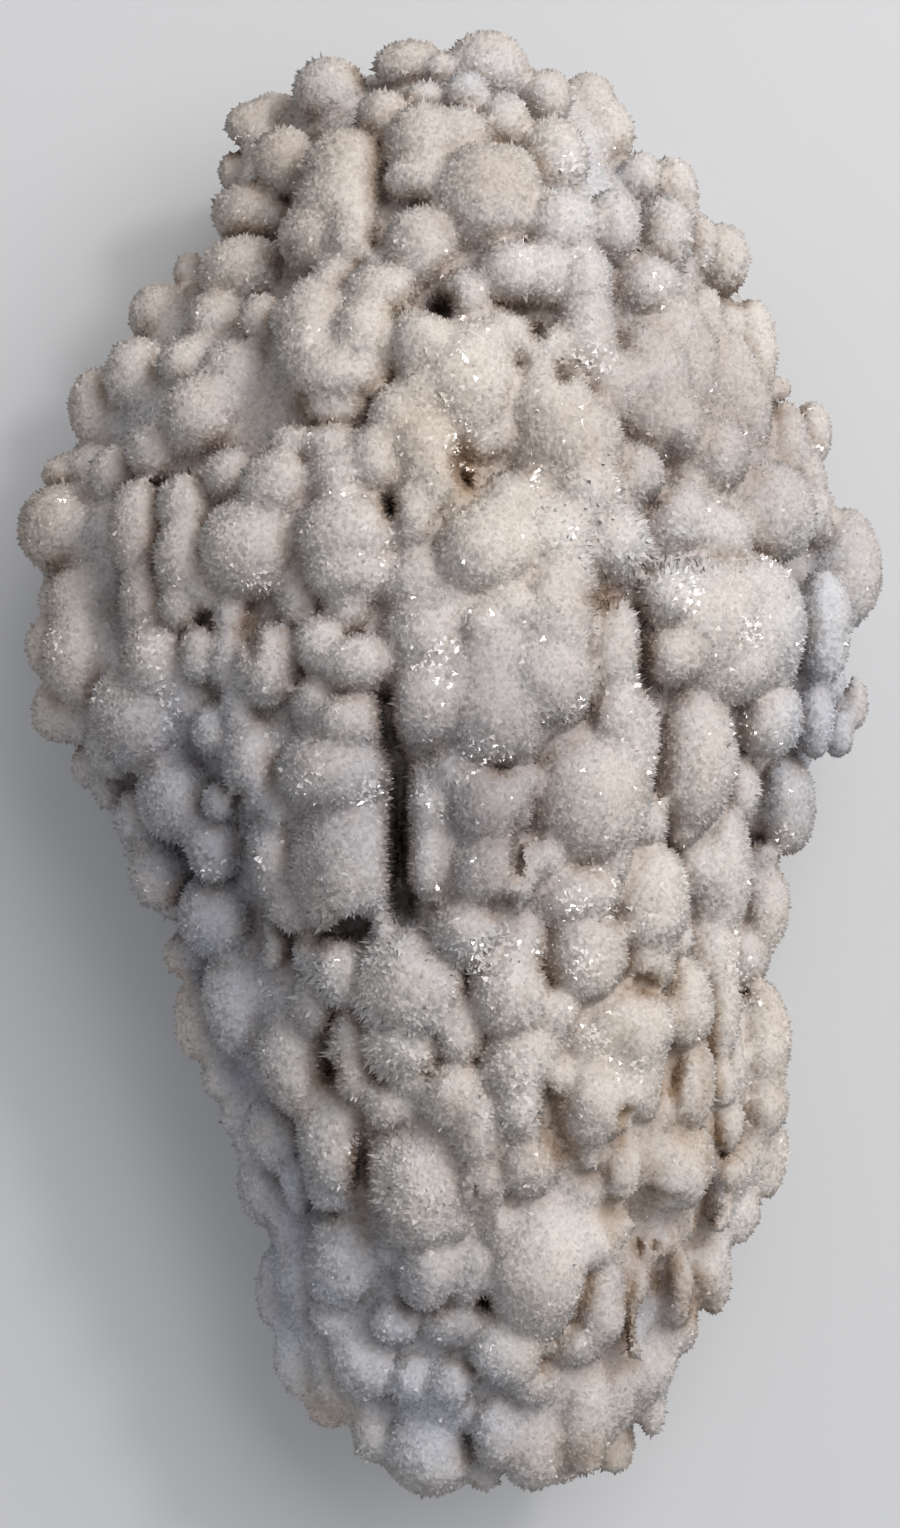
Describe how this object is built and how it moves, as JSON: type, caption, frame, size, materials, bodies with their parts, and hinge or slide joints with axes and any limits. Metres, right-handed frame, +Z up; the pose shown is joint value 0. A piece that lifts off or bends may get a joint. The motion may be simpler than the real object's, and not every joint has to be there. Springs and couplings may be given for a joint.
{
  "type": "calcite specimen",
  "caption": "Calcite crust of grown-together rounded knobs coated with fine druse, lying on its flat-cut back: a display or study specimen.",
  "frame": {"origin": "middle of the bounding box, on the flat cut that the specimen lies on", "axes": "+Z up from the cut through the knobby face, +Y along the length towards the broad end, +X across"},
  "size_m": [0.0864, 0.146, 0.0519],
  "materials": {
    "calcite": "matte"
  },
  "bodies": {
    "root": {"calcite": "calcite"}
  },
  "joints": []
}
